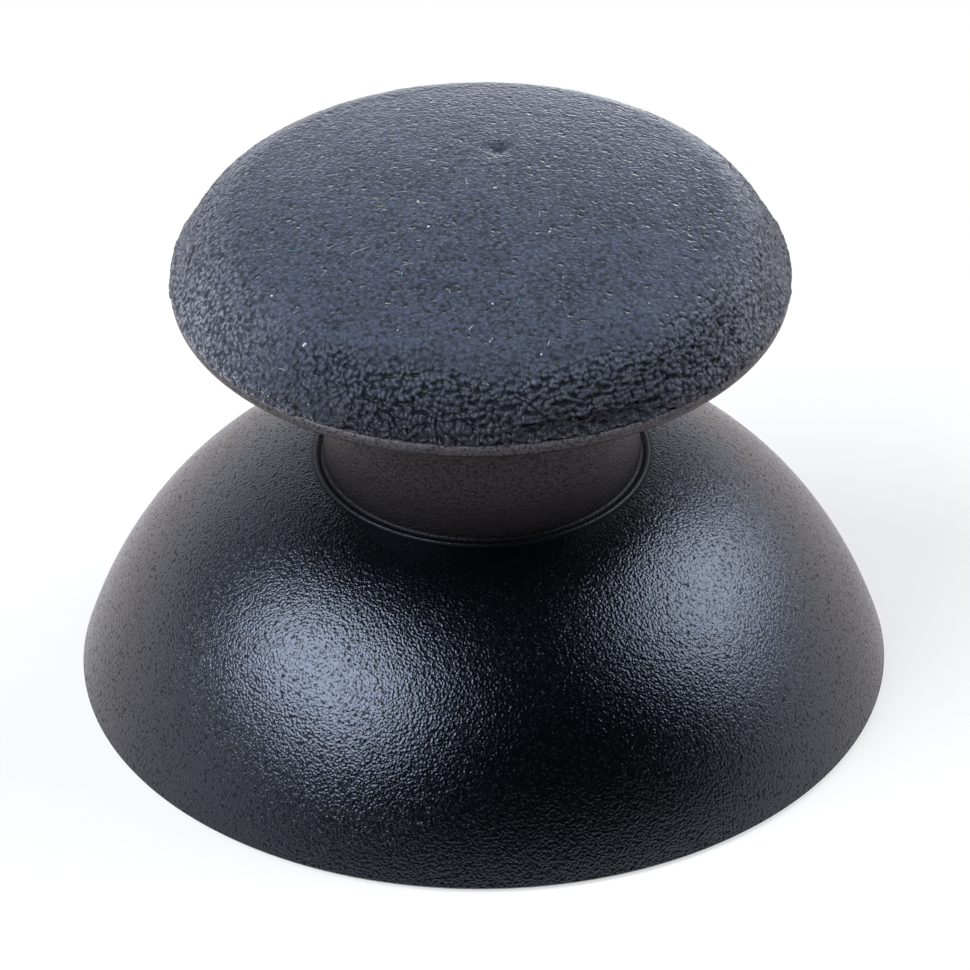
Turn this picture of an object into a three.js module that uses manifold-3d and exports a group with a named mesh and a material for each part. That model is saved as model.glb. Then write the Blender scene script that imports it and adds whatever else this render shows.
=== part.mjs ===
// Thumbstick cap of a game controller, in millimetres, +Z up.
// The origin is on the axis, in the plane of the skirt's rim, which is the face it rests on.
// Two pieces: a moulded plastic body with skirt, neck, disc and stem socket, and the rubber grip on it.

import * as THREE from 'three';
import { mergeVertices } from 'three/addons/utils/BufferGeometryUtils.js';
import Module from 'manifold-3d';

// Skirt: a domed shell, open below. Angles are in degrees.
const RIM_RADIUS = 12.0;
const RIM_EDGE = 0.12; // chamfer on both corners of the rim
const RIM_LEAN = 17.5; // how far the wall leans inwards from upright, at the rim
const SKIRT_RISE = 7.05; // from the rim's outer corner up to the crease round the neck
const SKIRT_SHOULDER_PITCH = 8; // slope of the dome where it meets the neck
const SKIRT_LOWER_PULL = 4.05; // reach of the curve's lower handle
const SKIRT_UPPER_PULL = 3.0; // reach of the curve's upper handle
const SKIRT_WALL = 1.1;

// Neck, with the low bead that stands at its foot
const NECK_RADIUS = 4.65;
const NECK_LENGTH = 5.6; // from the crease up to the disc's underside
const NECK_HEAD_FILLET = 1.2;
const BEAD_PROUD = 0.32; // how far the bead stands out from the neck
const BEAD_HEIGHT = 0.18;
const BEAD_ROUND = 0.08;
const BEAD_FILLET = 0.2;

// Disc that carries the rubber; its edge is left bare
const DISC_RADIUS = 9.0;
const DISC_THICKNESS = 0.52;
const DISC_EDGE_ROUND = 0.42;
const DISC_LEDGE = 0.2; // bare ring outside the rubber

// Rubber grip
const GRIP_EDGE_RADIUS = 2.3;
const GRIP_CROWN_RADIUS = 28;
const GRIP_THICKNESS = 1.2;

// Boss under the skirt and the flat-sided socket for the stem
const BOSS_RADIUS = 3.5;
const BOSS_SETBACK = 0.8; // from the rim's plane up to the boss's end
const BOSS_EDGE = 0.2;
const BOSS_ROOT_FILLET = 0.5;
const STEM_RADIUS = 2.0;
const STEM_ACROSS_FLATS = 3.0;
const STEM_CLEARANCE = 0.05;
const SOCKET_DEPTH = 6.0;
const SOCKET_LEAD_IN = 0.35;

// Facets: steps round the axis, and along each kind of curve
const ROUND_STEPS = 60;
const SKIRT_STEPS = 12;
const FILLET_STEPS = 4;
const CROWN_STEPS = 5;
const EDGE_STEPS = 7;

// Places that the sizes above settle
const SKIRT_TOP = RIM_EDGE + SKIRT_RISE;
const DISC_UNDERSIDE = SKIRT_TOP + NECK_LENGTH;
const DISC_TOP = DISC_UNDERSIDE + DISC_THICKNESS;
const GRIP_RADIUS = DISC_RADIUS - DISC_LEDGE;

const point = (r, z) => new THREE.Vector2(r, z);
const radians = THREE.MathUtils.degToRad;

// Round stretch of a section, from one angle to another
function arc(r, z, radius, from, to, steps) {
  return Array.from({ length: steps + 1 }, (_, i) => {
    const angle = radians(from + ((to - from) * i) / steps);
    return point(r + radius * Math.cos(angle), z + radius * Math.sin(angle));
  });
}

// The dome's outer curve, from the rim up to the crease round the neck
function skirtCurve() {
  const foot = point(RIM_RADIUS, RIM_EDGE);
  const top = point(NECK_RADIUS + BEAD_PROUD, SKIRT_TOP);
  const lean = radians(RIM_LEAN);
  const pitch = radians(SKIRT_SHOULDER_PITCH);
  const footHandle = point(-Math.sin(lean), Math.cos(lean)).multiplyScalar(SKIRT_LOWER_PULL).add(foot);
  const topHandle = point(Math.cos(pitch), -Math.sin(pitch)).multiplyScalar(SKIRT_UPPER_PULL).add(top);
  return new THREE.CubicBezierCurve(foot, footHandle, topHandle, top);
}

// The same curve one wall further in, from the ceiling down to the rim's inner corner
function skirtInside(curve) {
  const inside = [];
  for (let i = SKIRT_STEPS; i >= 0; i -= 1) {
    const along = curve.getTangent(i / SKIRT_STEPS);
    const outside = curve.getPoint(i / SKIRT_STEPS);
    inside.push(point(outside.x - SKIRT_WALL * along.y, outside.y + SKIRT_WALL * along.x));
  }
  const above = inside.filter((p) => p.y > RIM_EDGE);
  const last = above.at(-1);
  const next = inside[above.length];
  const share = (last.y - RIM_EDGE) / (last.y - next.y);
  return [...above, last.clone().lerp(next, share)];
}

// Edge arc and crown arc of the head, set in from the grip's outer face by the given depth
function headCurve(depth) {
  const edgeRadius = GRIP_EDGE_RADIUS - depth;
  const edgeCentre = GRIP_RADIUS - GRIP_EDGE_RADIUS;
  const crownRadius = GRIP_CROWN_RADIUS - depth;
  const crownDrop = Math.sqrt((GRIP_CROWN_RADIUS - GRIP_EDGE_RADIUS) ** 2 - edgeCentre ** 2);
  const turn = THREE.MathUtils.radToDeg(Math.atan2(crownDrop, edgeCentre));
  const edge = arc(edgeCentre, DISC_TOP, edgeRadius, 0, turn, EDGE_STEPS);
  const crown = arc(0, DISC_TOP - crownDrop, crownRadius, turn, 90, CROWN_STEPS).slice(1, -1);
  return [...edge, ...crown, point(0, DISC_TOP - crownDrop + crownRadius)];
}

// Turns a section about the axis. Its first and last points lie on the axis.
function turned(section) {
  return new THREE.LatheGeometry(section, ROUND_STEPS).rotateX(Math.PI / 2);
}

// Closed body of a geometry, for cutting: only places, shared corners, no collapsed faces
function solid(geometry, wasm) {
  const bare = geometry.clone();
  bare.deleteAttribute('normal');
  bare.deleteAttribute('uv');
  const merged = mergeVertices(bare, 1e-4);
  const index = merged.index.array;
  const faces = [];
  for (let i = 0; i < index.length; i += 3) {
    const [a, b, c] = index.slice(i, i + 3);
    if (a !== b && b !== c && c !== a) faces.push(a, b, c);
  }
  const mesh = new wasm.Mesh({
    numProp: 3,
    vertProperties: new Float32Array(merged.attributes.position.array),
    triVerts: new Uint32Array(faces),
  });
  return new wasm.Manifold(mesh);
}

function geometryOf(body) {
  const mesh = body.getMesh();
  const geometry = new THREE.BufferGeometry();
  geometry.setAttribute('position', new THREE.BufferAttribute(mesh.vertProperties, 3));
  geometry.setIndex(new THREE.BufferAttribute(mesh.triVerts, 1));
  geometry.computeVertexNormals();
  return geometry;
}

// Section of the plastic body: boss, inside of the skirt, rim, dome, neck, disc, and the core under the grip
function bodySection() {
  const curve = skirtCurve();
  const bossRoot = BOSS_RADIUS + BOSS_ROOT_FILLET;
  const inside = skirtInside(curve).filter((p) => p.x > bossRoot);
  const ceiling = inside[0].y;
  const rimInner = inside.at(-1);
  const beadRound = NECK_RADIUS + BEAD_PROUD - BEAD_ROUND;
  const beadTop = SKIRT_TOP + BEAD_HEIGHT;
  const neckFillet = NECK_RADIUS + NECK_HEAD_FILLET;
  const discRound = DISC_RADIUS - DISC_EDGE_ROUND;
  return [
    point(0, BOSS_SETBACK),
    point(BOSS_RADIUS - BOSS_EDGE, BOSS_SETBACK),
    point(BOSS_RADIUS, BOSS_SETBACK + BOSS_EDGE),
    ...arc(bossRoot, ceiling - BOSS_ROOT_FILLET, BOSS_ROOT_FILLET, 180, 90, FILLET_STEPS),
    ...inside,
    point(rimInner.x + RIM_EDGE, 0),
    point(RIM_RADIUS - RIM_EDGE, 0),
    ...curve.getPoints(SKIRT_STEPS),
    ...arc(beadRound, beadTop - BEAD_ROUND, BEAD_ROUND, 0, 90, 2),
    ...arc(NECK_RADIUS + BEAD_FILLET, beadTop + BEAD_FILLET, BEAD_FILLET, 270, 180, 3),
    ...arc(neckFillet, DISC_UNDERSIDE - NECK_HEAD_FILLET, NECK_HEAD_FILLET, 180, 90, FILLET_STEPS),
    ...arc(discRound, DISC_UNDERSIDE + DISC_EDGE_ROUND, DISC_EDGE_ROUND, 270, 360, FILLET_STEPS),
    point(DISC_RADIUS, DISC_TOP),
    ...headCurve(GRIP_THICKNESS),
  ];
}

// Section of the grip: up the inside of the cap, then back down its outside
function gripSection() {
  return [...headCurve(GRIP_THICKNESS).reverse(), ...headCurve(0)];
}

// Round hole with two flats, and the cone that leads the stem into it
function socketCutters() {
  const radius = STEM_RADIUS + STEM_CLEARANCE;
  const halfFlats = STEM_ACROSS_FLATS / 2 + STEM_CLEARANCE;
  const corner = Math.acos(halfFlats / radius);
  const outline = new THREE.Shape();
  outline.absarc(0, 0, radius, corner, Math.PI - corner);
  outline.absarc(0, 0, radius, Math.PI + corner, 2 * Math.PI - corner);
  const overshoot = 1;
  const settings = { depth: SOCKET_DEPTH + overshoot, bevelEnabled: false, curveSegments: 10 };
  const hole = new THREE.ExtrudeGeometry(outline, settings).translate(0, 0, BOSS_SETBACK - overshoot);
  const mouth = radius + SOCKET_LEAD_IN;
  const leadIn = turned([
    point(0, BOSS_SETBACK - overshoot),
    point(mouth + overshoot, BOSS_SETBACK - overshoot),
    point(0, BOSS_SETBACK + mouth),
  ]);
  return [hole, leadIn];
}

const wasm = await Module();
wasm.setup();

const bodySolid = socketCutters().reduce(
  (body, cutter) => body.subtract(solid(cutter, wasm)),
  solid(turned(bodySection()), wasm),
);

const capBody = new THREE.Mesh(
  geometryOf(bodySolid),
  new THREE.MeshStandardMaterial({ color: 0x17181d, roughness: 0.42, metalness: 0 }),
);
capBody.name = 'cap_body';

const rubberGrip = new THREE.Mesh(
  turned(gripSection()),
  new THREE.MeshStandardMaterial({ color: 0x3a3e4b, roughness: 0.9, metalness: 0 }),
);
rubberGrip.name = 'rubber_grip';

const thumbstickCap = new THREE.Group();
thumbstickCap.add(capBody, rubberGrip);

export default thumbstickCap;
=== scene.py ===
"""A thumbstick cap for a game controller, as the photograph shows it: black plastic with a rubber grip."""

import math
import random

import bpy
from mathutils import Matrix, Vector


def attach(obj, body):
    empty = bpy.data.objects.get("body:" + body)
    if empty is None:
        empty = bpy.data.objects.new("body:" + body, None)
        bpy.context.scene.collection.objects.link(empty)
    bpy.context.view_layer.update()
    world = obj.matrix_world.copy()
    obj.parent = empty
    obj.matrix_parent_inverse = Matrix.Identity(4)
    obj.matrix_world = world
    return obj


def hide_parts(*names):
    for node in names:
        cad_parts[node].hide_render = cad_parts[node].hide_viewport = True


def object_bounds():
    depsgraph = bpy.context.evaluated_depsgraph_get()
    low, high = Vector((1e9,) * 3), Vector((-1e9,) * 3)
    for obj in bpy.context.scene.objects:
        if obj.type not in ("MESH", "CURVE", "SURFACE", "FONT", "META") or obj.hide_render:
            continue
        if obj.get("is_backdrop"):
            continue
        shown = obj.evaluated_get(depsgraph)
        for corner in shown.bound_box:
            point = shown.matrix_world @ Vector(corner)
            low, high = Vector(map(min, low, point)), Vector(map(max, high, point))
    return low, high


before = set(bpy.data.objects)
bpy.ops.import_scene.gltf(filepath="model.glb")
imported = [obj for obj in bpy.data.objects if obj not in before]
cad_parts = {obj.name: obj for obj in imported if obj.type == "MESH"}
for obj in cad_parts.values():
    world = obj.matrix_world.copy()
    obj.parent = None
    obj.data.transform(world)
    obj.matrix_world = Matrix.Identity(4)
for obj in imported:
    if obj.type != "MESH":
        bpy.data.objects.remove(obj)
cad_low, cad_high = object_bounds()

# Camera
# A long lens a hand's breadth away looks down on the cap at about 34 degrees.
# The cap stands very slightly turned in the picture, so the camera is rolled by the same amount.

bpy.ops.object.camera_add()
camera = bpy.context.object
camera.name = "camera"
aim = Vector((0.00008, 0, 0.0060))
distance = 0.22
looking_down = math.radians(33.82)
rolled = math.radians(-0.485)
camera.location = aim + distance * Vector((0, -math.cos(looking_down), math.sin(looking_down)))
tilt = Matrix.Rotation(math.pi / 2 - looking_down, 3, "X")
roll = Matrix.Rotation(rolled, 3, "Z")
camera.rotation_euler = (tilt @ roll).to_euler()
camera.data.lens = 276.2
camera.data.sensor_width = 36
camera.data.clip_start = 0.01
bpy.context.scene.camera = camera
bpy.context.scene.view_settings.view_transform = "Standard"

# Lights
# Two soft boxes, one to the left and towards the camera, one to the right and behind.
# Their panels are faintly blue, and each lies where its reflection shows on the skirt.

LAMP_DISTANCE = 0.6

for name, direction, watts, wide, tall in (
    ("left soft box", (-0.660, -0.285, 0.695), 5.7, 0.57, 0.34),
    ("right soft box", (0.749, 0.243, 0.616), 3.4, 0.50, 0.34),
):
    place = LAMP_DISTANCE * Vector(direction)
    bpy.ops.object.light_add(type="AREA", location=place)
    box = bpy.context.object
    box.name = name
    box.rotation_euler = place.to_track_quat("Z", "Y").to_euler()
    box.data.shape = "RECTANGLE"
    box.data.size = wide
    box.data.size_y = tall
    box.data.energy = watts
    box.data.color = (0.88, 0.93, 1.0)


# Surroundings
# A white tent, open towards the camera: bright behind the cap and low down at its sides, dark in front.


class Value:
    """A socket that takes part in arithmetic, so that sums in a node tree are written as sums."""

    def __init__(self, socket):
        self.socket = socket

    def math(self, operation, *items, clamp=False):
        node = self.socket.id_data.nodes.new("ShaderNodeMath")
        node.operation = operation
        node.use_clamp = clamp
        for slot, item in zip(node.inputs, items):
            wire(slot, item)
        return Value(node.outputs[0])

    def __add__(self, other):
        return self.math("ADD", self, other)

    __radd__ = __add__

    def __sub__(self, other):
        return self.math("SUBTRACT", self, other)

    def __rsub__(self, other):
        return self.math("SUBTRACT", other, self)

    def __mul__(self, other):
        return self.math("MULTIPLY", self, other)

    __rmul__ = __mul__

    def __truediv__(self, other):
        return self.math("DIVIDE", self, other)

    def __pow__(self, other):
        return self.math("POWER", self, other)

    def __neg__(self):
        return self.math("MULTIPLY", self, -1)

    def clipped(self):
        return self.math("ADD", self, 0, clamp=True)

    def most(self, other):
        return self.math("MAXIMUM", self, other)

    def rise(self, start, end):
        """0 up to start, 1 from end on, and a smooth step between them."""
        node = self.socket.id_data.nodes.new("ShaderNodeMapRange")
        node.interpolation_type = "SMOOTHSTEP"
        wire(node.inputs["Value"], self)
        node.inputs["From Min"].default_value = start
        node.inputs["From Max"].default_value = end
        return Value(node.outputs["Result"])


def wire(slot, item):
    if isinstance(item, Value):
        slot.id_data.links.new(item.socket, slot)
    else:
        slot.default_value = item


class Tree:
    """A node tree written from nothing. node() takes a kind, its settings and what goes into its sockets."""

    def __init__(self, tree):
        self.tree = tree
        tree.nodes.clear()

    def node(self, kind, settings={}, sockets={}, out=0):
        made = self.tree.nodes.new(kind)
        for name, setting in settings.items():
            setattr(made, name, setting)
        for name, item in sockets.items():
            wire(made.inputs[name], item)
        return Value(made.outputs[out]) if made.outputs else made

    def split(self, vector):
        made = self.tree.nodes.new("ShaderNodeSeparateXYZ")
        wire(made.inputs[0], vector)
        return [Value(output) for output in made.outputs]

    def blend(self, factor, first, second):
        """A colour that goes from first to second."""
        return self.node("ShaderNodeMix", {"data_type": "RGBA"}, {0: factor, 6: first, 7: second}, out=2)


world = bpy.data.worlds.new("white tent")
bpy.context.scene.world = world
world.use_nodes = True
sky = Tree(world.node_tree)
across, deep, high = sky.split(sky.node("ShaderNodeTexCoord", out="Generated"))
low_down = 1 - high.rise(0.10, 0.40)
round_back = (deep - 0.19 * across).rise(-0.65, 0.0)
behind = deep.rise(0.15, 0.8) * (1 - (high + 0.22 * across).rise(0.35, 0.76))
level = 0.006 + (low_down * (0.02 + 1.4 * round_back)).most(behind)
tint = sky.blend(high.rise(-0.05, 0.22), (1.0, 0.95, 0.96, 1), (0.90, 0.94, 1.0, 1))
lit = sky.node("ShaderNodeBackground", {}, {"Color": tint, "Strength": level})
sky.node("ShaderNodeOutputWorld", {}, {"Surface": lit})

# Floor
# A large white sheet. Seen by the lens and in reflections it is lit paper-white away from the cap.
# Round the rim it keeps the cap's own soft shadow.

# a hair below the rim, so that the two don't share a plane
FLOOR_DROP = 0.00002
bpy.ops.mesh.primitive_plane_add(size=3, location=(0, 0, -FLOOR_DROP))
floor = bpy.context.object
floor.name = "floor"
bpy.ops.object.transform_apply(location=True)
floor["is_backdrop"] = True
paper = bpy.data.materials.new("white sheet")
paper.use_nodes = True
sheet = Tree(paper.node_tree)
place = sheet.node("ShaderNodeTexCoord", out="Object")
from_axis = sheet.node("ShaderNodeVectorMath", {"operation": "LENGTH"}, {0: place}, out="Value")
fibre = sheet.node("ShaderNodeTexNoise", {}, {"Vector": place, "Scale": 900.0, "Detail": 3.0})
camera_ray, glossy_ray, through_ray = [
    sheet.node("ShaderNodeLightPath", out=f"Is {ray} Ray") for ray in ("Camera", "Glossy", "Transmission")
]
seen = (camera_ray + glossy_ray + through_ray).clipped()
tone = sheet.blend(fibre, (0.87, 0.87, 0.87, 1), (0.93, 0.93, 0.93, 1))
tone = sheet.blend(seen, (0.5, 0.48, 0.48, 1), tone)
matt = sheet.node("ShaderNodeBsdfDiffuse", {}, {"Color": tone})
shown = sheet.blend(glossy_ray, (1, 1, 1, 1), (1, 0.91, 0.91, 1))
white = sheet.node("ShaderNodeEmission", {}, {"Color": shown, "Strength": 1.0})
share = seen * (0.6 + 0.4 * from_axis.rise(0.012, 0.03))
sheet.node("ShaderNodeOutputMaterial", {}, {
    "Surface": sheet.node("ShaderNodeMixShader", {}, {0: share, 1: matt, 2: white}),
})
floor.data.materials.append(paper)

# Plastic body
# One moulding in near-black plastic: domed skirt, neck with a small bead at its foot, disc and stem socket.
# It came out of a finely spark-eroded mould, so the skin is a tight leathery grain all over.
# Drawn as half a section in millimetres, from the boss out to the rim, up the dome and neck to the core.

MILLIMETRE = 0.001
RIM, RIM_CHAMFER, RIM_LEAN, WALL = 12.0, 0.12, math.radians(17.5), 1.1
SHOULDER_PITCH, LOWER_PULL, UPPER_PULL = math.radians(8), 4.05, 3.0
NECK, NECK_FILLET, SKIRT_TOP = 4.65, 1.2, 7.17
BEAD_OUT, BEAD_ROUND, FOOT_FILLET, FOOT_RISE = 0.32, 0.09, 0.10, 0.13
DISC, DISC_LOW, DISC_TOP, DISC_ROUND, DISC_CORNER = 9.0, 12.82, 13.29, 0.32, 0.05
GRIP, GRIP_EDGE, GRIP_CROWN, GRIP_WALL = 8.8, 2.3, 28.0, 1.2
BOSS, BOSS_LOW, BOSS_FILLET, BOSS_CHAMFER = 3.5, 0.8, 0.5, 0.2


def arc(r, z, radius, start, end, steps):
    """Points of a round stretch of a section, from one angle to another."""
    turns = [math.radians(start + (end - start) * i / steps) for i in range(steps + 1)]
    return [Vector((r + radius * math.cos(a), z + radius * math.sin(a))) for a in turns]


def head(depth, steps):
    """The head's section from its edge in to the axis, set in from the rubber's face by depth."""
    centre = GRIP - GRIP_EDGE
    drop = math.sqrt((GRIP_CROWN - GRIP_EDGE) ** 2 - centre**2)
    turn = math.degrees(math.atan2(drop, centre))
    edge = arc(centre, DISC_TOP, GRIP_EDGE - depth, 0, turn, steps)
    crown = arc(0, DISC_TOP - drop, GRIP_CROWN - depth, turn, 90, steps)
    return edge + crown[1:]


def dome(steps):
    """The skirt's section from the rim's outer corner up to the crease, each point with its direction."""
    foot, top = Vector((RIM, RIM_CHAMFER)), Vector((NECK + BEAD_OUT, SKIRT_TOP))
    foot_handle = foot + LOWER_PULL * Vector((-math.sin(RIM_LEAN), math.cos(RIM_LEAN)))
    top_handle = top + UPPER_PULL * Vector((math.cos(SHOULDER_PITCH), -math.sin(SHOULDER_PITCH)))
    for i in range(steps + 1):
        t = i / steps
        u = 1 - t
        at = u**3 * foot + 3 * u * u * t * foot_handle + 3 * u * t * t * top_handle + t**3 * top
        along = u * u * (foot_handle - foot) + 2 * u * t * (top_handle - foot_handle)
        along += t * t * (top - top_handle)
        yield at, along.normalized()


def draw(section, steps):
    """Extrudes a chain of edges through the section's points, then spins it about the axis."""
    bpy.ops.mesh.primitive_plane_add(size=1, location=(section[0].x, 0, section[0].y))
    bpy.ops.object.mode_set(mode="EDIT")
    bpy.ops.mesh.select_all(action="SELECT")
    bpy.ops.mesh.merge(type="CENTER")
    for here, there in zip(section, section[1:]):
        move = (there.x - here.x, 0, there.y - here.y)
        bpy.ops.mesh.extrude_region_move(TRANSFORM_OT_translate={"value": move})
    bpy.ops.mesh.select_all(action="SELECT")
    bpy.ops.mesh.spin(steps=steps, angle=2 * math.pi, center=(0, 0, 0), axis=(0, 0, 1))
    bpy.ops.mesh.select_all(action="SELECT")
    bpy.ops.mesh.remove_doubles(threshold=0.001)
    bpy.ops.mesh.normals_make_consistent(inside=False)
    bpy.ops.object.mode_set(mode="OBJECT")
    bpy.ops.object.transform_apply(location=True)


skirt = list(dome(56))
inside = [at + WALL * Vector((-along.y, along.x)) for at, along in reversed(skirt[::4])]
inside = [p for p in inside if p.x > BOSS + BOSS_FILLET and p.y > RIM_CHAMFER]
rim_inner = inside[-1].x + (inside[-1].y - RIM_CHAMFER) * math.tan(RIM_LEAN)
section = [
    Vector((0, BOSS_LOW)),
    Vector((BOSS - BOSS_CHAMFER, BOSS_LOW)),
    Vector((BOSS, BOSS_LOW + BOSS_CHAMFER)),
    *arc(BOSS + BOSS_FILLET, inside[0].y - BOSS_FILLET, BOSS_FILLET, 180, 90, 6),
    *inside,
    Vector((rim_inner, RIM_CHAMFER)),
    Vector((rim_inner + RIM_CHAMFER, 0)),
    Vector((RIM - RIM_CHAMFER, 0)),
    *[at for at, along in skirt],
    *arc(NECK + BEAD_OUT - BEAD_ROUND, SKIRT_TOP, BEAD_ROUND, 0, 110, 10)[1:],
    *arc(NECK + FOOT_FILLET, SKIRT_TOP + FOOT_RISE, FOOT_FILLET, 270, 180, 5),
    *arc(NECK + NECK_FILLET, DISC_LOW - NECK_FILLET, NECK_FILLET, 180, 90, 14),
    *arc(DISC - DISC_ROUND, DISC_LOW + DISC_ROUND, DISC_ROUND, 270, 360, 10),
    *arc(DISC - DISC_CORNER, DISC_TOP - DISC_CORNER, DISC_CORNER, 0, 90, 4),
    *head(GRIP_WALL, 12),
]
draw(section, 288)
body = bpy.context.object
body.name = "cap_body_plastic"

# the socket: a round hole with two flats, and a lead-in cone
SOCKET, HALF_FLATS, SOCKET_LENGTH, SOCKET_MIDDLE = 2.05, 1.55, 7.0, 3.3
LEAD_IN, LEAD_IN_MIDDLE = 3.4, 1.5
bpy.ops.mesh.primitive_cylinder_add(
    vertices=96, radius=SOCKET, depth=SOCKET_LENGTH, location=(0, 0, SOCKET_MIDDLE),
)
hole = bpy.context.object
bpy.ops.object.mode_set(mode="EDIT")
for side in (1, -1):
    bpy.ops.mesh.select_all(action="SELECT")
    bpy.ops.mesh.bisect(
        plane_co=(HALF_FLATS * side, 0, 0), plane_no=(side, 0, 0),
        use_fill=True, clear_outer=True, clear_inner=False,
    )
bpy.ops.object.mode_set(mode="OBJECT")
bpy.ops.mesh.primitive_cone_add(
    vertices=96, radius1=LEAD_IN, radius2=0, depth=LEAD_IN, location=(0, 0, LEAD_IN_MIDDLE),
)
cone = bpy.context.object
for cutter in (hole, cone):
    bpy.ops.object.select_all(action="DESELECT")
    body.select_set(True)
    bpy.context.view_layer.objects.active = body
    bpy.ops.object.modifier_add(type="BOOLEAN")
    cut = body.modifiers[-1]
    cut.operation = "DIFFERENCE"
    cut.solver = "EXACT"
    cut.object = cutter
    bpy.ops.object.modifier_apply(modifier=cut.name)
    bpy.data.objects.remove(cutter)

# from millimetres to the frame's metres
body.scale = 3 * (MILLIMETRE,)
bpy.ops.object.transform_apply(location=True, rotation=True, scale=True)
bpy.ops.object.shade_smooth_by_angle(angle=math.radians(28))

plastic = bpy.data.materials.new("grained black plastic")
plastic.use_nodes = True
skin = Tree(plastic.node_tree)
place = skin.node("ShaderNodeTexCoord", out="Object")
x, y, height = [item / MILLIMETRE for item in skin.split(place)]
radius = (x * x + y * y) ** 0.5
# the grain: ridges that wind between shallow pits
swirl = skin.node("ShaderNodeTexNoise", {}, {"Vector": place, "Scale": 7000.0, "Detail": 1.0}, out="Color")
shaken = skin.node("ShaderNodeVectorMath", {"operation": "SUBTRACT"}, {0: swirl, 1: (0.5, 0.5, 0.5)})
shaken = skin.node("ShaderNodeVectorMath", {"operation": "SCALE"}, {0: shaken, "Scale": 0.00009})
bent = skin.node("ShaderNodeVectorMath", {"operation": "ADD"}, {0: place, 1: shaken})
ridges = skin.node("ShaderNodeTexNoise", {}, {
    "Vector": bent, "Scale": 13000.0, "Detail": 2.0, "Roughness": 0.5,
})
grains = skin.node("ShaderNodeTexVoronoi", {"feature": "SMOOTH_F1"}, {
    "Vector": bent, "Scale": 11500.0, "Smoothness": 0.3,
})
relief = 0.8 * ridges - 0.8 * grains
# it is shallower on the bead and in the groove beside it
worked = 0.6 + 0.4 * radius.rise(5.0, 5.06).most(1 - radius.rise(4.72, 4.80))
bump = skin.node("ShaderNodeBump", {}, {"Height": relief * worked, "Distance": 0.000016, "Strength": 1.0})
gloss = 0.14 + 0.10 * ridges
coal, cold = (0.0008, 0.001, 0.0018, 1), (0.72, 0.80, 1.0, 1)
black = skin.node("ShaderNodeBsdfPrincipled", {}, {
    "Base Color": coal,
    "Roughness": gloss,
    "IOR": 1.62,
    "Specular Tint": cold,
    "Normal": bump,
})
dull_black = skin.node("ShaderNodeBsdfPrincipled", {}, {
    "Base Color": coal,
    "Roughness": 0.45,
    "IOR": 1.3,
    "Specular Tint": cold,
    "Normal": bump,
})
# the grain's crevices are dull, and so is most of the bead
bead = height.rise(7.14, 7.18) * (1 - height.rise(8.0, 8.1))
shiny = relief.rise(-0.34, -0.06) * (1 - bead * (0.6 + 0.5 * ridges))
black = skin.node("ShaderNodeMixShader", {}, {0: shiny, 1: dull_black, 2: black})
# the neck and the disc's edge are a brownish black, and the edge is painted grey: partly rubbed wear, partly
# a painted highlight along its upper corner and painted light over the shade on its lower round, which faces
# down
paint = skin.blend(relief.rise(-0.10, 0.30), (0.001, 0.0008, 0.0014, 1), (0.021, 0.0165, 0.017, 1))
rubbed_and_lit = (0.4 * height.rise(12.79, 12.90) + 0.6 * height.rise(13.14, 13.25)) * radius.rise(8.6, 8.8)
paint = skin.blend(rubbed_and_lit * (0.55 + 0.9 * ridges.rise(0.3, 0.8)), paint, (0.095, 0.091, 0.100, 1))
# painted shade: low on the neck, towards the bead, the brown is darkened towards black and dulled, for the
# shade that falls there
foot = 1 - height.rise(7.35, 9.2)
brown = skin.node("ShaderNodeBsdfPrincipled", {}, {
    "Base Color": paint,
    "Roughness": gloss + 0.12 + 0.22 * foot,
    "IOR": 1.43,
    "Specular Tint": (1.0, 0.88, 0.96, 1),
    "Normal": bump,
})
# the brown dulls in the grain's crevices, and towards the foot with the painted shade
dull_grain_and_foot_shade = (0.7 * foot).most(0.8 * (1 - relief.rise(-0.32, 0.02)))
brown = skin.node("ShaderNodeMixShader", {}, {0: dull_grain_and_foot_shade, 1: brown, 2: dull_black})
above_bead = ((1 - radius.rise(4.78, 4.86)) * height.rise(7.05, 7.15)).most(height.rise(9.0, 9.2))
surface = skin.node("ShaderNodeMixShader", {}, {0: above_bead, 1: black, 2: brown})
skin.node("ShaderNodeOutputMaterial", {}, {"Surface": surface})
body.data.materials.clear()
body.data.materials.append(plastic)
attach(body, "root")
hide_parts("cap_body")

# Rubber grip
# A soft cap of blue-grey rubber moulded over the disc. Its skin is matt, finely pitted on the crown and
# beaded round the edge, and its foot is torn to the right of the front.
# Made from a finely divided cube, rounded to a ball, cut in half and drawn on to the head's section.

draw(head(0, 64) + [Vector((0, 10.0)), Vector((GRIP, 10.0)), Vector((GRIP, DISC_TOP))], 512)
form = bpy.context.object
crown_top = DISC_TOP - math.sqrt((GRIP_CROWN - GRIP_EDGE) ** 2 - (GRIP - GRIP_EDGE) ** 2) + GRIP_CROWN
bpy.ops.object.select_all(action="DESELECT")
bpy.ops.mesh.primitive_cube_add(size=2)
grip = bpy.context.object
grip.name = "rubber_grip_skin"
bpy.ops.object.mode_set(mode="EDIT")
bpy.ops.mesh.select_all(action="SELECT")
# twice, as one call divides by 100 at most
bpy.ops.mesh.subdivide(number_cuts=86)
bpy.ops.mesh.subdivide(number_cuts=1)
bpy.ops.transform.tosphere(value=1.0)
bpy.ops.mesh.bisect(
    plane_co=(0, 0, 0), plane_no=(0, 0, 1), clear_inner=True, clear_outer=False, threshold=0.0005,
)
bpy.ops.object.mode_set(mode="OBJECT")
grip.scale = (GRIP, GRIP, crown_top - DISC_TOP)
grip.location = (0, 0, DISC_TOP)
bpy.ops.object.transform_apply(location=True, rotation=True, scale=True)
bpy.ops.object.modifier_add(type="SHRINKWRAP")
grip.modifiers[-1].target = form
bpy.ops.object.modifier_apply(modifier=grip.modifiers[-1].name)
bpy.data.objects.remove(form)

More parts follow.
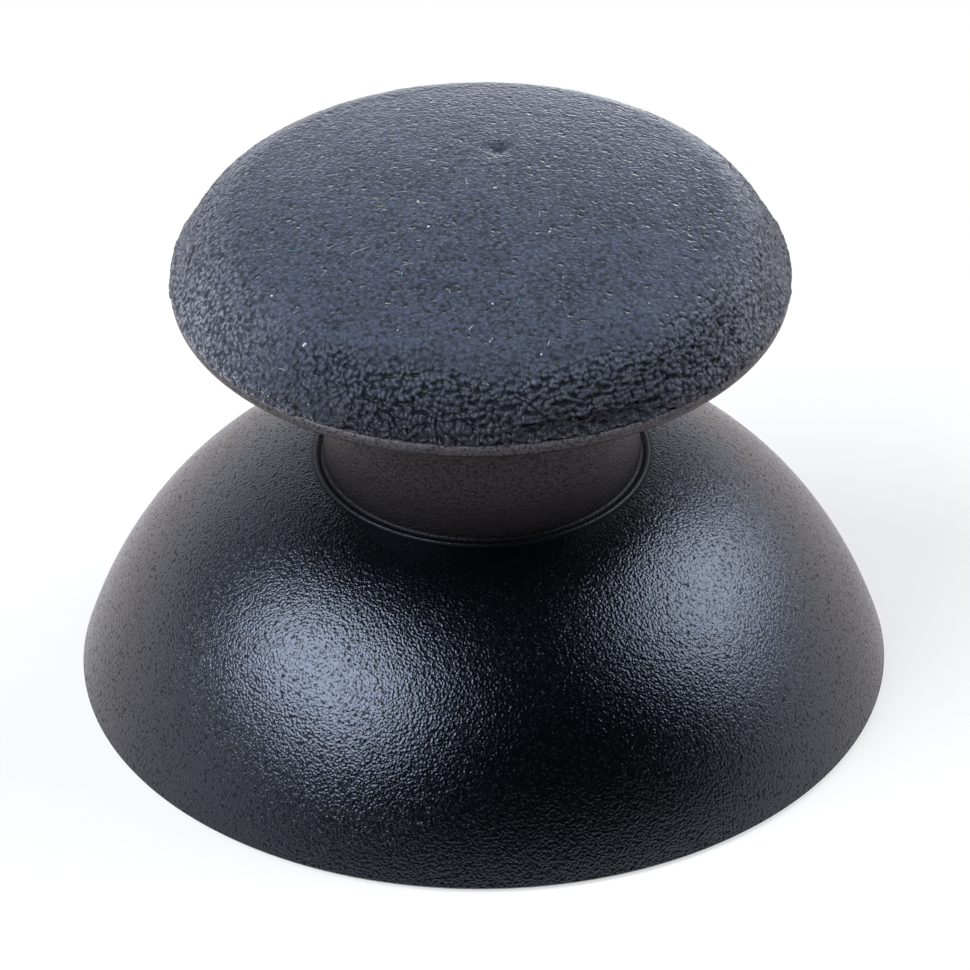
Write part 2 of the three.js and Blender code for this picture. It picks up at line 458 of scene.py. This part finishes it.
# beads and pits, as real relief
pebbles = bpy.data.node_groups.new("rubber relief", "GeometryNodeTree")
pebbles.interface.new_socket("Geometry", in_out="INPUT", socket_type="NodeSocketGeometry")
pebbles.interface.new_socket("Geometry", in_out="OUTPUT", socket_type="NodeSocketGeometry")
relief = Tree(pebbles)
mesh = relief.node("NodeGroupInput")
place = relief.node("GeometryNodeInputPosition")
x, y, z = relief.split(place)
up = z - DISC_TOP
radius = (x * x + y * y) ** 0.5
side, front = x / radius, -y / radius
pitch = up.math("ARCTAN2", up, (radius - (GRIP - GRIP_EDGE)).most(0.0))
outwards, nz = pitch.math("COSINE", pitch), pitch.math("SINE", pitch)
drift = relief.node("ShaderNodeTexNoise", {}, {"Vector": place, "Scale": 0.7, "Detail": 2.0}) - 0.5
towards_front = (front + 0.25 * side + 0.6 * drift).rise(0.4, 0.95)
coarse = (1 - nz + 0.3 * drift).rise(0.0, 0.35) * (0.3 + 0.7 * towards_front)
# none at the very back, where the way round the rim starts again
coarse = coarse * front.rise(-0.9999, -0.998)
swirl = relief.node("ShaderNodeTexNoise", {}, {"Vector": place, "Scale": 2.5, "Detail": 1.0}) - 0.5
soft = relief.node("ShaderNodeTexNoise", {}, {
    "Vector": place, "Scale": 2.2, "Detail": 2.0, "Roughness": 0.6,
}) - 0.5
# the beads lie in a band: way round the rim, and way down over its edge
BEADS_PER_MM, BEADS_UNEVEN, BEAD_REACH = 5.7, 0.8, 0.72
laid = relief.node("ShaderNodeCombineXYZ", {}, {
    "X": DISC * side.math("ARCTAN2", side, front) + 0.35 * swirl,
    "Y": GRIP_EDGE * pitch + 0.35 * soft,
})
beads = relief.node("ShaderNodeTexVoronoi", {"voronoi_dimensions": "2D"}, {
    "Vector": laid, "Scale": BEADS_PER_MM, "Randomness": BEADS_UNEVEN,
})
domes = (1 - (beads / BEAD_REACH) ** 2.0).most(0.0)
rough = 0.11 * domes + 0.14 * soft - 0.06
# one pit in a shallow hollow just behind the middle of the crown
PIT_X, PIT_Y = 0.54, 2.1
from_pit = ((x - PIT_X) ** 2.0 + (y - PIT_Y) ** 2.0) ** 0.5
pit = 1 - from_pit.rise(0.12, 0.30)
hollow = 0.09 * pit + 0.05 * (1 - from_pit.rise(0.2, 0.6))
out = 0.05 * soft * (1 - coarse) + rough * coarse - hollow
# the foot: spread to the disc's corner all round, a little less in front,
# with an overhanging lip to the right of the front where the rubber tore
low = 1 - up.rise(0.15, 0.9)
spread = 0.22 - 0.11 * front.rise(0.70, 0.92) + 0.08 * soft
torn = side.rise(0.10, 0.18) * (1 - side.rise(0.50, 0.60)) * front.rise(0.0, 0.1)
lip = up.rise(0.05, 0.25) * (1 - (up + 0.3 * soft).rise(0.50, 0.62))
flat = spread * low - 0.16 * torn * lip
seated = up.rise(0.0, 0.5)
# painted shade, carried to the material as an attribute: under the torn lip, low at the foot, in the pit, and
# over the rim's lower front, which no lamp faces
shaded = (1 - up.rise(0.3, 1.9)) * front.rise(0.6, 0.95)
painted_shade = (torn * lip).most(low * 0.35).most(pit).most(0.95 * shaded)
shift = relief.node("ShaderNodeCombineXYZ", {}, {
    "X": side * (outwards * out + flat),
    "Y": -front * (outwards * out + flat),
    "Z": nz * out * seated,
})
moved = relief.node("GeometryNodeSetPosition", {}, {"Geometry": mesh, "Offset": shift})
for name, kind, item in (
    ("laid", "FLOAT_VECTOR", laid),
    ("coarse", "FLOAT", coarse),
    ("painted_shade", "FLOAT", painted_shade),
):
    moved = relief.node("GeometryNodeStoreNamedAttribute", {"data_type": kind}, {
        "Geometry": moved, "Name": name, "Value": item,
    })
relief.node("NodeGroupOutput", {}, {"Geometry": moved})
bpy.ops.object.select_all(action="DESELECT")
grip.select_set(True)
bpy.context.view_layer.objects.active = grip
bpy.ops.object.modifier_add(type="NODES")
grip.modifiers[-1].node_group = pebbles
bpy.ops.object.modifier_apply(modifier=grip.modifiers[-1].name)

# the underside: the foot is drawn in and then up along the core
bpy.ops.object.mode_set(mode="EDIT")
bpy.ops.mesh.select_mode(type="EDGE")
bpy.ops.mesh.select_all(action="DESELECT")
bpy.ops.mesh.select_non_manifold()
ring = [Vector((GRIP, DISC_TOP)), *head(GRIP_WALL, 5)]
for here, there in zip(ring, ring[1:-1]):
    bpy.ops.mesh.extrude_edges_move(TRANSFORM_OT_translate={"value": (0, 0, there.y - here.y)})
    factor = there.x / here.x
    bpy.ops.transform.resize(value=(factor, factor, 1), center_override=(0, 0, 0))
bpy.ops.mesh.merge(type="CENTER")
bpy.ops.mesh.select_all(action="SELECT")
bpy.ops.mesh.normals_make_consistent(inside=False)
bpy.ops.object.mode_set(mode="OBJECT")
grip.scale = 3 * (MILLIMETRE,)
bpy.ops.object.transform_apply(location=True, rotation=True, scale=True)
bpy.ops.object.shade_smooth()

rubber = bpy.data.materials.new("blue-grey rubber")
rubber.use_nodes = True
skin = Tree(rubber.node_tree)
place = skin.node("ShaderNodeTexCoord", out="Object")
swirl = skin.node("ShaderNodeTexNoise", {}, {"Vector": place, "Scale": 4000.0, "Detail": 2.0}, out="Color")
shaken = skin.node("ShaderNodeVectorMath", {"operation": "SUBTRACT"}, {0: swirl, 1: (0.5, 0.5, 0.5)})
shaken = skin.node("ShaderNodeVectorMath", {"operation": "SCALE"}, {0: shaken, "Scale": 0.0002})
bent = skin.node("ShaderNodeVectorMath", {"operation": "ADD"}, {0: place, 1: shaken})
mottle = skin.node("ShaderNodeTexNoise", {}, {
    "Vector": bent, "Scale": 9000.0, "Detail": 2.0, "Roughness": 0.6,
})
grains = skin.node("ShaderNodeTexVoronoi", {"feature": "SMOOTH_F1"}, {
    "Vector": bent, "Scale": 7500.0, "Smoothness": 0.3,
})
holes = skin.node("ShaderNodeTexVoronoi", {}, {"Vector": bent, "Scale": 2300.0})
deep = 1 - holes.rise(0.08, 0.24)
clouds = skin.node("ShaderNodeTexNoise", {}, {"Vector": place, "Scale": 500.0, "Detail": 3.0}) - 0.5
laid = skin.node("ShaderNodeAttribute", {"attribute_name": "laid"}, out="Vector")
coarse = skin.node("ShaderNodeAttribute", {"attribute_name": "coarse"}, out="Fac")
painted_shade = skin.node("ShaderNodeAttribute", {"attribute_name": "painted_shade"}, out="Fac")
beads = skin.node("ShaderNodeTexVoronoi", {"voronoi_dimensions": "2D"}, {
    "Vector": laid, "Scale": BEADS_PER_MM, "Randomness": BEADS_UNEVEN,
})
domes = (1 - (beads / BEAD_REACH) ** 2.0).most(0.0)
fine = mottle - 0.5 * grains - 0.6 * deep
relief = fine * (1 - 0.3 * coarse) + 1.6 * coarse * domes
# painted light and shade: the colour follows the fine relief, paler on its grains and dark in its pits and
# low places, dark between the beads, and darker still in the painted shade under the lip, in the pit, at the
# foot and at the front
between = coarse * (1 - 0.8 * domes.rise(-0.1, 0.75))
tone = (fine + 0.35 * clouds).rise(-0.08, 0.50) * (1 - between) * (1 - 0.75 * painted_shade)
paint = skin.blend(tone, (0.003, 0.005, 0.010, 1), (0.050, 0.061, 0.100, 1))
# painted highlights: the highest grains and the bead tops are painted pale, and a painted sheen lightens the
# rim at both sides
lit_tips = (fine.rise(0.42, 0.64) * (1 - coarse)).most(0.4 * domes.rise(0.5, 1.0) * coarse * (1 - painted_shade))
paint = skin.blend(0.65 * lit_tips, paint, (0.125, 0.135, 0.175, 1))
x, y = [item / MILLIMETRE for item in skin.split(place)[:2]]
radius = (x * x + y * y) ** 0.5
side_sheen = radius.rise(6.9, 8.7) * (x * x / (radius * radius)).rise(0.3, 0.9) * fine.rise(0.12, 0.55)
paint = skin.blend(0.9 * side_sheen, paint, (0.25, 0.25, 0.28, 1))
bump = skin.node("ShaderNodeBump", {}, {"Height": relief, "Distance": 0.000046, "Strength": 1.0})
# the crown has a soft sheen, and the beads have none
crown = skin.node("ShaderNodeBsdfPrincipled", {}, {
    "Base Color": paint,
    "Roughness": 0.70 + 0.12 * mottle,
    "IOR": 1.45,
    "Sheen Weight": 1.0,
    "Sheen Roughness": 0.27,
    "Sheen Tint": (0.98, 0.97, 1.0, 1),
    "Normal": bump,
})
beaded = skin.node("ShaderNodeBsdfPrincipled", {}, {
    "Base Color": paint,
    "Roughness": 0.40 + 0.2 * mottle,
    "IOR": 1.45,
    "Normal": bump,
})
surface = skin.node("ShaderNodeMixShader", {}, {0: coarse.rise(0.35, 0.85), 1: crown, 2: beaded})
skin.node("ShaderNodeOutputMaterial", {}, {"Surface": surface})
grip.data.materials.clear()
grip.data.materials.append(rubber)
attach(grip, "root")
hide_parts("rubber_grip")

# Dust and lint
# Crumbs of dust and short ends of textile fibre that have settled on the rubber and cling to it.
# Each fibre is a bent thread lying along the skin, and each crumb an uneven grain sunk a little into it.

THREAD, THREAD_RISE = 0.013, 0.009
# the head's crown ends and its edge begins at this distance from the axis
CROWN_REACH = 7.08
# where each fibre lies in millimetres, how it is turned in degrees, and its length
FIBRES = {
    "white": (
        (-0.37, 0.18, 100, 0.42), (1.72, -1.51, 95, 0.26), (-0.27, -6.48, 60, 0.26),
        (-6.70, -5.62, -25, 0.24), (-5.04, -5.94, 20, 0.20), (-5.62, -6.46, -30, 0.26),
        (-3.45, -3.0, 30, 0.70), (-2.06, -3.80, 20, 0.40), (-0.07, 2.08, 30, 0.26),
        (1.60, 3.61, 10, 0.24), (-1.53, -7.91, -60, 0.24), (0.12, -8.17, -10, 0.22),
        (1.91, -7.01, 80, 0.26), (0.29, -6.97, 60, 0.24),
    ),
    "cream": ((-2.96, -0.50, 5, 0.30), (-2.88, -0.92, -15, 0.28), (2.44, -8.04, -20, 0.30)),
    "teal": ((1.08, -5.46, 80, 0.42), (-5.37, -2.53, -5, 0.34)),
}
# where each crumb lies, and its size
CRUMBS = {
    "white": (
        (-1.46, -2.12, 0.045), (1.99, -2.36, 0.045), (-0.87, -5.04, 0.03), (0.34, -5.56, 0.035),
        (0.44, -0.22, 0.05), (-4.96, -6.30, 0.07), (-5.92, -4.36, 0.05), (-0.47, 3.36, 0.03),
        (-1.26, 2.09, 0.03), (1.08, 5.12, 0.03), (1.69, -7.38, 0.04),
    ),
    "cream": ((-1.77, -0.84, 0.05), (0.70, 0.45, 0.04), (-0.18, 4.23, 0.035), (-1.65, 8.50, 0.05)),
    "teal": ((-2.22, -4.17, 0.04),),
}

# the finest crumbs are scattered over the whole head
FINE_CRUMBS, DUST_REACH = 70, 8.4
scatter = random.Random(5)
for number in range(FINE_CRUMBS):
    way, far = scatter.uniform(0, 2 * math.pi), DUST_REACH * math.sqrt(scatter.random())
    colour = "cream" if number % 5 == 0 else "white"
    CRUMBS[colour] += ((far * math.cos(way), far * math.sin(way), scatter.uniform(0.014, 0.026)),)


def lay(piece, x, y, turn, rise):
    """Puts a piece on the rubber's face at x and y, turned about the face's normal and raised along it."""
    radius, way = math.hypot(x, y), math.atan2(y, x)
    if radius < CROWN_REACH:
        height = crown_top - GRIP_CROWN + math.sqrt(GRIP_CROWN**2 - radius**2)
        lean = math.asin(radius / GRIP_CROWN)
    else:
        height = DISC_TOP + math.sqrt(GRIP_EDGE**2 - (radius - GRIP + GRIP_EDGE) ** 2)
        lean = math.acos((height - DISC_TOP) / GRIP_EDGE)
    out = Vector((math.cos(way) * math.sin(lean), math.sin(way) * math.sin(lean), math.cos(lean)))
    piece.location = Vector((x, y, height)) + rise * out
    upright = Matrix.Rotation(math.radians(turn) - way, 3, "Z")
    piece.rotation_euler = (Matrix.Rotation(way, 3, "Z") @ Matrix.Rotation(lean, 3, "Y") @ upright).to_euler()


for colour, dark, pale in (
    ("white", (0.34, 0.34, 0.40, 1), (0.68, 0.68, 0.75, 1)),
    ("cream", (0.42, 0.30, 0.20, 1), (0.72, 0.60, 0.48, 1)),
    ("teal", (0.03, 0.16, 0.16, 1), (0.12, 0.42, 0.44, 1)),
):
    bits = []
    for x, y, turn, length in FIBRES[colour]:
        bpy.ops.curve.primitive_bezier_curve_add()
        bit = bpy.context.object
        bit.scale = (0.4 * length, 0.3 * length, 1)
        bpy.ops.object.transform_apply(scale=True)
        bit.data.bevel_depth = THREAD
        bit.data.bevel_resolution = 1
        bit.data.use_fill_caps = True
        bpy.ops.object.convert(target="MESH")
        bit = bpy.context.object
        lay(bit, x, y, turn, THREAD_RISE)
        bits.append(bit)
    for x, y, size in CRUMBS[colour]:
        bpy.ops.mesh.primitive_ico_sphere_add(subdivisions=2, radius=size)
        bit = bpy.context.object
        bit.scale = (1, 0.75, 0.6)
        bpy.ops.object.mode_set(mode="EDIT")
        bpy.ops.transform.vertex_random(offset=0.3 * size, seed=len(bits))
        bpy.ops.object.mode_set(mode="OBJECT")
        lay(bit, x, y, 40 * len(bits), 0.2 * size)
        bits.append(bit)
    bpy.ops.object.select_all(action="DESELECT")
    for bit in bits:
        bit.select_set(True)
    bpy.context.view_layer.objects.active = bits[0]
    bpy.ops.object.join()
    dust = bpy.context.object
    dust.name = f"{colour}_dust"
    bpy.ops.object.transform_apply(location=True, rotation=True, scale=True)
    dust.scale = 3 * (MILLIMETRE,)
    bpy.ops.object.transform_apply(scale=True)
    bpy.ops.object.shade_smooth()
    fluff = bpy.data.materials.new(f"{colour} dust")
    fluff.use_nodes = True
    skin = Tree(fluff.node_tree)
    place = skin.node("ShaderNodeTexCoord", out="Object")
    uneven = skin.node("ShaderNodeTexNoise", {}, {"Vector": place, "Scale": 12000.0, "Detail": 2.0})
    surface = skin.node("ShaderNodeBsdfPrincipled", {}, {
        "Base Color": skin.blend(uneven.rise(0.35, 0.65), dark, pale),
        "Roughness": 0.6 + 0.2 * uneven,
    })
    skin.node("ShaderNodeOutputMaterial", {}, {"Surface": surface})
    dust.data.materials.clear()
    dust.data.materials.append(fluff)
    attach(dust, "root")

low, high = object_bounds()
{"cad": [list(cad_low), list(cad_high)], "visual": [list(low), list(high)]}
